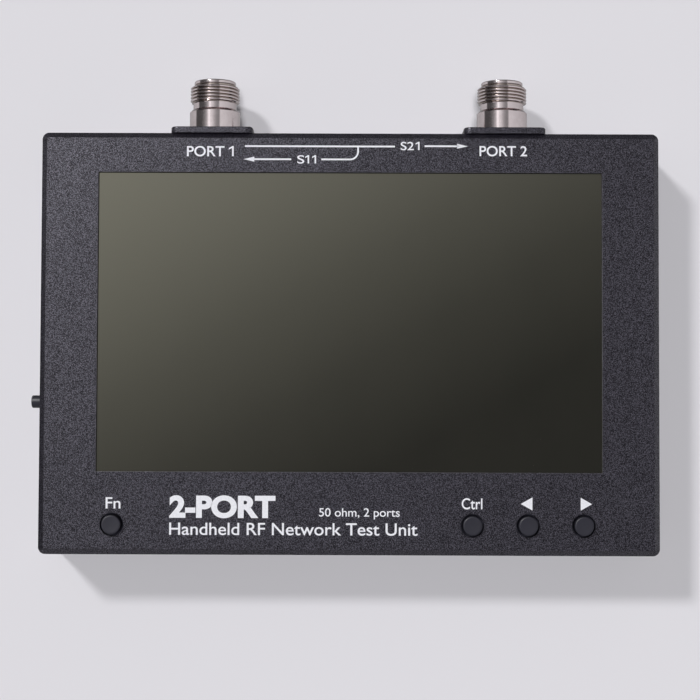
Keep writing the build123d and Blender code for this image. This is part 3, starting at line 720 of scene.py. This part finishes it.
def port_place(port):
    """From the port's own frame (Z along its axis, 0 on the flange's face) to the row's."""
    low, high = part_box(f"{port}_flange")
    centre = (low + high) / 2
    return Matrix.Translation((centre.x, high.y, centre.z)) @ Matrix.Rotation(
        math.radians(-90), 4, "X")


def make_port(port):
    place = port_place(port)
    body = lathe(f"{port}_jack", port_profile(), 128, place, closed=True)
    finish_piece(body, "nickel_plate", ROOT, (f"{port}_body",))
    thread = thread_ring(f"{port}_thread", place)
    finish_piece(thread, "nickel_plate", ROOT)
    softened(f"{port}_flange", 0.3 * MM, segments=3)
    softened(f"{port}_contact", 0.05 * MM)


# ---------------------------------------------------------------- left side
PAD_SIZE = (3.0 * MM, 0.25 * MM, 0.03 * MM)
PAD_PITCH = 0.5 * MM
PADS_A_SIDE = 12
TONGUE_HALF_T = 0.35 * MM


def make_usb_socket():
    """The shell and tongue, with a row of gold pads on each side of the tongue."""
    softened("usb_c_shell", 0.05 * MM)
    softened("usb_c_tongue", 0.06 * MM)
    low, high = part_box("usb_c_tongue")
    middle = (low + high) / 2
    x = low.x + 0.4 * MM + PAD_SIZE[0] / 2
    size = Matrix.Diagonal((*PAD_SIZE, 1))
    bm = bmesh.new()
    for face in (-1, 1):
        z = middle.z + face * (TONGUE_HALF_T + PAD_SIZE[2] / 3)
        for i in range(PADS_A_SIDE):
            y = middle.y + (i - (PADS_A_SIDE - 1) / 2) * PAD_PITCH
            bmesh.ops.create_cube(bm, size=1, matrix=Matrix.Translation((x, y, z)) @ size)
    pads = new_object("usb_c_contacts", mesh_from_bmesh("usb_c_contacts", bm))
    finish_piece(pads, "gold_plate")


# ---------------------------------------------------------------- printed legends
INK_T = 0.03 * MM
INK_SINK = 0.01 * MM
INK_Z = FACE_Z + INK_T / 2 - INK_SINK


def flat_shape(name, outlines):
    """A printed shape made of closed outlines in millimetres on the face."""
    curve = bpy.data.curves.new(name, "CURVE")
    curve.dimensions = "2D"
    curve.fill_mode = "BOTH"
    curve.extrude = INK_T / 2
    for outline in outlines:
        spline = curve.splines.new("POLY")
        spline.points.add(len(outline) - 1)
        for point, (x, y) in zip(spline.points, outline):
            point.co = (x * MM, y * MM, 0, 1)
        spline.use_cyclic_u = True
    return printed(name, curve, Matrix.Translation((0, 0, INK_Z)))


def printed(name, curve, place):
    """Turns a flat curve or text into a thin mesh on the face."""
    source = new_object(name + "_curve", curve)
    bpy.context.view_layer.update()
    depsgraph = bpy.context.evaluated_depsgraph_get()
    mesh = bpy.data.meshes.new_from_object(source.evaluated_get(depsgraph))
    bpy.data.objects.remove(source)
    mesh.transform(place)
    mesh.name = name
    bm = bmesh.new()
    bm.from_mesh(mesh)
    bmesh.ops.remove_doubles(bm, verts=bm.verts, dist=1e-7)
    bmesh.ops.recalc_face_normals(bm, faces=bm.faces)
    bm.to_mesh(mesh)
    bm.free()
    return finish_piece(new_object(name, mesh), "legend_ink")


def words(name, text, left, right, baseline, cap_height, weight=0.0):
    """Printed words, set to a cap height and stretched to a width, in millimetres."""
    curve = bpy.data.curves.new(name, "FONT")
    curve.body = text
    curve.extrude = 0.0
    curve.offset = weight
    probe = new_object(name + "_probe", curve)
    bpy.context.view_layer.update()
    x_low = min(corner[0] for corner in probe.bound_box)
    x_high = max(corner[0] for corner in probe.bound_box)
    curve.body = "H"
    bpy.context.view_layer.update()
    cap = max(corner[1] for corner in probe.bound_box)
    curve.body = text
    bpy.data.objects.remove(probe)
    scale_x = (right - left) * MM / (x_high - x_low)
    scale_y = cap_height * MM / cap
    curve.extrude = INK_T / 2
    shift = Matrix.Translation((left * MM - x_low * scale_x, baseline * MM, INK_Z))
    return printed(name, curve, shift @ Matrix.Diagonal((scale_x, scale_y, 1, 1)))


def bar(x0, x1, y, width):
    half = width / 2
    return [(x0, y - half), (x1, y - half), (x1, y + half), (x0, y + half)]


def arrow_head(tip, base, y, half):
    return [(tip, y), (base, y - half), (base, y + half)]


def quarter_turn(start_x, low_y, end_x, high_y, width):
    """A stroke that runs right, turns up on a round corner and meets the upper line."""
    half = width / 2
    radius = end_x - start_x
    centre = (start_x, low_y + radius)
    outer = arc(centre, radius + half, -90, 0, 12)
    inner = arc(centre, radius - half, 0, -90, 12)
    return outer + [(end_x + half, high_y), (end_x - half, high_y)] + inner


def digit_one(right, base, height, stroke):
    """The figure 1: a stem with a flag to its left."""
    top = base + height
    left = right - stroke
    reach = right - 0.48 * height
    return [(left, base), (right, base), (right, top), (left + 0.1, top),
            (reach, top - 0.2 * height), (reach, top - 0.35 * height), (left, top - 0.2 * height)]


def make_legends():
    stroke = 0.55
    upper = 62.44
    lower = 58.28
    words("legend_port_1", "PORT", -51.8, -39.9, 59.2, 3.2, 0.012)
    words("legend_port_2", "PORT 2", 41.0, 56.1, 59.5, 3.2, 0.012)
    words("legend_s21", "S2", 16.0, 20.2, 61.33, 2.6, 0.01)
    words("legend_s11", "S", -16.8, -14.55, 56.97, 2.6, 0.01)
    flat_shape("legend_ones", [digit_one(-36.95, 59.2, 3.25, 0.55),
                               digit_one(22.0, 61.33, 2.65, 0.5),
                               digit_one(-13.0, 56.97, 2.65, 0.5),
                               digit_one(-10.8, 56.97, 2.65, 0.5)])
    words("legend_fn", "Fn", -76.55, -71.85, -52.33, 3.5, 0.01)
    words("legend_ctrl", "Ctrl", 35.46, 41.96, -52.15, 3.4, 0.01)
    words("legend_block", "2-PORT", -56.5, -23.1, -54.8, 6.6, 0.045)
    words("legend_ports", "50 ohm, 2 ports", -9.4, 16.0, -54.6, 2.6, 0.006)
    words("legend_title", "Handheld RF Network Test Unit", -56.5, 21.6, -60.5, 3.8, 0.008)
    flat_shape("legend_path_s21", [bar(-33.4, 14.2, upper, stroke),
                                   bar(23.6, 34.4, upper + 0.15, stroke)])
    flat_shape("legend_arrow_s21", [arrow_head(37.3, 33.9, upper + 0.15, 0.8)])
    flat_shape("legend_path_s11", [bar(-30.6, -18.7, lower, stroke),
                                   bar(-9.15, 0.0, lower, stroke)])
    flat_shape("legend_arrow_s11", [arrow_head(-33.8, -30.4, lower, 0.8)])
    flat_shape("legend_path_turn", [quarter_turn(-0.05, lower, 2.5, upper - stroke / 2, stroke)])
    flat_shape("legend_left", [arrow_head(54.0, 57.7, -50.46, 2.05)])
    flat_shape("legend_right", [arrow_head(76.4, 72.85, -50.46, 2.05)])


# ---------------------------------------------------------------- stage
CAMERA_DISTANCE = 0.55
CAMERA_LENS = 89.6
CAMERA_TILT = math.radians(-2.5)
CAMERA_TURN = math.radians(-0.19)
CAMERA_ROLL = math.radians(-0.21)
CAMERA_SLIDE = Vector((0.00016, -0.00221, 0))


def make_camera():
    """Nearly straight above the screen, a little towards the keys."""
    data = bpy.data.cameras.new("camera")
    data.lens = CAMERA_LENS
    data.sensor_width = 36
    data.clip_start = 0.01
    camera = new_object("camera", data)
    turned = (Matrix.Rotation(CAMERA_ROLL, 3, "Z") @ Matrix.Rotation(CAMERA_TILT, 3, "X")
              @ Matrix.Rotation(CAMERA_TURN, 3, "Y"))
    to_world = turned.transposed()
    aim = Vector((0, 0, FACE_Z))
    place = aim + to_world @ (CAMERA_SLIDE + Vector((0, 0, CAMERA_DISTANCE)))
    camera.matrix_world = Matrix.Translation(place) @ to_world.to_4x4()
    bpy.context.scene.camera = camera


def make_lamp(name, strength, angle, towards, glossy):
    """A distant lamp in a direction, its angle in degrees."""
    data = bpy.data.lights.new(name, "SUN")
    data.energy = strength
    data.angle = math.radians(angle)
    lamp = new_object(name, data)
    lamp.rotation_euler = Vector(towards).to_track_quat("Z", "Y").to_euler()
    lamp.location = Vector(towards) * 0.5
    lamp.visible_glossy = glossy
    return lamp


def make_floor():
    """A plain pale surface, the same brightness all over but for a faint drift."""
    half = 3.0
    mesh = bpy.data.meshes.new("floor")
    mesh.from_pydata([(-half, -half, 0), (half, -half, 0), (half, half, 0), (-half, half, 0)],
                     [], [(0, 1, 2, 3)])
    floor = new_object("floor", mesh)
    look = Shader("floor")
    drift = look.noise(0.4, detail=1.0)
    look.link("Base Color", look.ramp(drift, (0.3, (0.80, 0.786, 0.826)),
                                      (0.7, (0.805, 0.791, 0.831))))
    look.set(Roughness=0.9, Specular_IOR_Level=0.0)
    mesh.materials.append(look.material)
    floor.visible_glossy = False


# What glossy surfaces see of the room: brightness by the angle from straight up in the
# plane across the ports, positive to the right.
ROOM_SIDES = (
    (-180, 0.3), (-130, 0.5), (-94, 0.66), (-89, 0.085), (-57, 0.085), (-44, 0.16), (-34, 0.33),
    (-29, 0.6), (-25, 1.1), (-20, 1.1), (-16, 0.72), (-8, 0.6), (2, 0.42),
    (18, 0.25), (24, 0.24), (28, 0.72), (35, 0.7), (60, 0.62), (90, 0.55), (180, 0.3),
)
# The overhead panel's brightness along its own axis, from the lower right to the upper left.
PANEL_AXIS = (-0.5, 0.866, 0)
PANEL_GRADIENT = ((-0.2, 0.08), (-0.03, 0.1), (0.03, 0.25), (0.08, 0.48), (0.19, 1.18),
                  (0.45, 1.65))
# The panel spans a cone about a direction that leans to the left.
PANEL_MIDDLE = (-0.35, 0, 0.94)
# Brightness of the rest of the room: beyond the ports, low at the left, and at the keys' end.
ROOM_BEHIND = 0.15
ROOM_LEFT = 0.03
ROOM_BEFORE = 0.4
# What lights the object evenly, and what the camera sees past the floor.
ROOM_LIGHT = 0.13
BACKDROP = 0.71
KEY_DIRECTION = (-0.613, 0.636, 1)


class WorldNodes(Nodes):
    """Brightness by the direction that a ray leaves the scene in."""

    def __init__(self, tree):
        super().__init__(tree)
        self.direction = tree.nodes.new("ShaderNodeTexCoord").outputs["Generated"]
        self.x, self.y, self.z = self.split(self.direction)

    def along(self, axis):
        node = self.tree.nodes.new("ShaderNodeVectorMath")
        node.operation = "DOT_PRODUCT"
        node.inputs[1].default_value = axis
        self.tree.links.new(self.direction, node.inputs[0])
        return node.outputs["Value"]

    def curve(self, socket, stops):
        """A brightness that follows stops of (value, brightness)."""
        low, high = stops[0][0], stops[-1][0]
        fit = self.tree.nodes.new("ShaderNodeMapRange")
        fit.inputs["From Min"].default_value = low
        fit.inputs["From Max"].default_value = high
        self.tree.links.new(socket, fit.inputs["Value"])
        ramp = self.tree.nodes.new("ShaderNodeValToRGB")
        elements = ramp.color_ramp.elements
        while len(elements) < len(stops):
            elements.new(0.5)
        top = max(brightness for _, brightness in stops)
        for element, (value, brightness) in zip(elements, stops):
            element.position = (value - low) / (high - low)
            element.color = (*[brightness / top] * 3, 1)
        self.tree.links.new(fit.outputs["Result"], ramp.inputs["Fac"])
        return self.times(ramp.outputs["Color"], top)

    def blend(self, factor, a, b):
        node = self.tree.nodes.new("ShaderNodeMix")
        self.feed(node.inputs["Factor"], factor)
        self.feed(node.inputs["A"], a)
        self.feed(node.inputs["B"], b)
        return node.outputs["Result"]

    def both(self, a, b):
        return self.math("MINIMUM", a, b)

    def either(self, a, b):
        return self.math("MAXIMUM", a, b)


def make_world():
    """A dim room. Gloss also shows its dark left, lit right and a panel overhead."""
    world = bpy.data.worlds.new("studio")
    world.use_nodes = True
    tree = world.node_tree
    tree.nodes.clear()
    room = WorldNodes(tree)
    angle = room.times(room.math("ARCTAN2", room.x, room.z), 180 / math.pi)
    low_left = room.both(room.curve(room.x, ((-0.9, 1.0), (-0.7, 0.0))),
                         room.curve(room.y, ((0.14, 1.0), (0.17, 0.0))))
    sides = room.blend(low_left, room.curve(angle, ROOM_SIDES), ROOM_LEFT)
    panel = room.curve(room.along(PANEL_AXIS), PANEL_GRADIENT)
    in_cone = room.both(room.curve(room.y, ((0.145, 1.0), (0.162, 0.0))),
                        room.curve(room.along(PANEL_MIDDLE), ((0.8, 0.0), (0.84, 1.0))))
    not_behind_left = room.either(room.curve(room.x, ((-0.3, 0.0), (-0.22, 1.0))),
                                  room.curve(room.y, ((0.05, 1.0), (0.09, 0.0))))
    seen = room.blend(room.both(in_cone, not_behind_left), sides, panel)
    seen = room.blend(room.curve(room.y, ((0.35, 0.0), (0.6, 1.0))), seen, ROOM_BEHIND)
    seen = room.blend(room.curve(room.y, ((-0.6, 1.0), (-0.35, 0.0))), seen, ROOM_BEFORE)
    paths = tree.nodes.new("ShaderNodeLightPath").outputs
    strength = room.blend(paths["Is Glossy Ray"], ROOM_LIGHT, seen)
    strength = room.blend(paths["Is Camera Ray"], strength, BACKDROP)
    background = tree.nodes.new("ShaderNodeBackground")
    background.inputs["Color"].default_value = (0.985, 0.98, 1.0, 1)
    tree.links.new(strength, background.inputs["Strength"])
    output = tree.nodes.new("ShaderNodeOutputWorld")
    tree.links.new(background.outputs["Background"], output.inputs["Surface"])
    bpy.context.scene.world = world


def make_stage():
    """Floor, room, lamps and camera; the second key lamp only adds to the gloss."""
    make_floor()
    make_world()
    make_lamp("key_lamp", 1.216, 7, KEY_DIRECTION, True)
    make_lamp("key_gloss", 1.9, 7, KEY_DIRECTION, True).visible_diffuse = False
    make_lamp("fill_lamp", 1.5, 12, (0, -0.03, 1), False)
    make_camera()
    bpy.context.scene.view_settings.view_transform = "Standard"


# ---------------------------------------------------------------- build
for node, obj in frame["nodes"].items():
    obj.data.materials.clear()
    obj.data.materials.append(MATERIALS[SLOT_OF[node]])

make_case()
make_feet()
make_keys()
make_power_button()
for port_name in PORTS:
    make_port(port_name)
softened("flange_screws", 0.06 * MM)
make_usb_socket()
make_legends()
make_stage()
